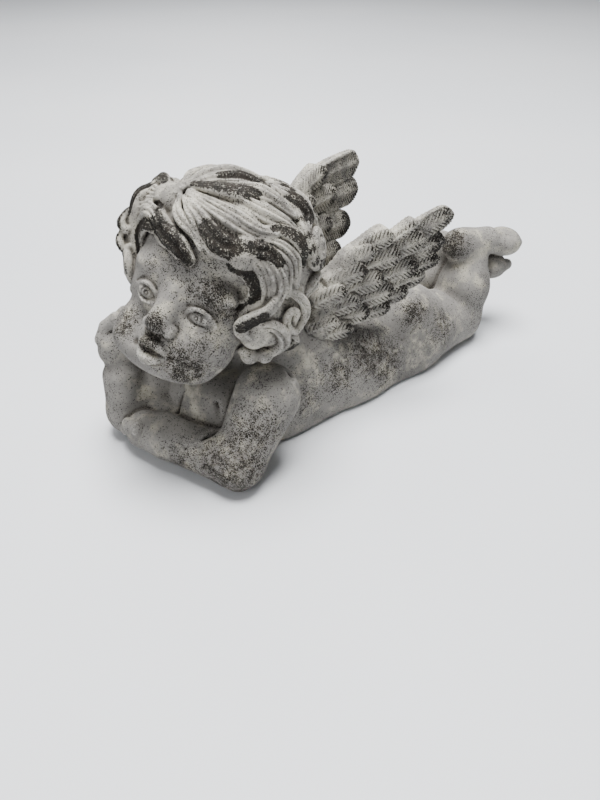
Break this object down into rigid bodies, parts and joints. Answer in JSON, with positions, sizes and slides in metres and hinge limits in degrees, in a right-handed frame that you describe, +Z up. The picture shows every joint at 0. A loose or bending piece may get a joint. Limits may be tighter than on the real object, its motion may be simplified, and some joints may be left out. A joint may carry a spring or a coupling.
{
  "type": "resin angel figurine",
  "caption": "Reclining cherub figurine lying on its belly, chin on one hand, with curly hair, raised feet and two feathered wings set into its back; distressed stone-look resin.",
  "frame": {"origin": "under the middle of the figurine's overall box, on the surface that it stands on", "axes": "+Z up; the head points to -Y and the feet to +Y; +X is the figure's own left side"},
  "size_m": [0.1038, 0.278, 0.1443],
  "materials": {
    "resin": "matt grey stone paint, white dry-brushed on the relief, dark speckle",
    "steel": "plain drawn wire",
    "rubber": "matt moulded",
    "felt": "pressed felt"
  },
  "bodies": {
    "root": {"body_casting": "resin", "wing_left": "resin", "wing_right": "resin", "wing_pin_left": "steel", "wing_pin_right": "steel", "belly_plug": "rubber", "elbow_pad_left": "felt", "elbow_pad_right": "felt", "knee_pad_left": "felt", "knee_pad_right": "felt"}
  },
  "joints": []
}
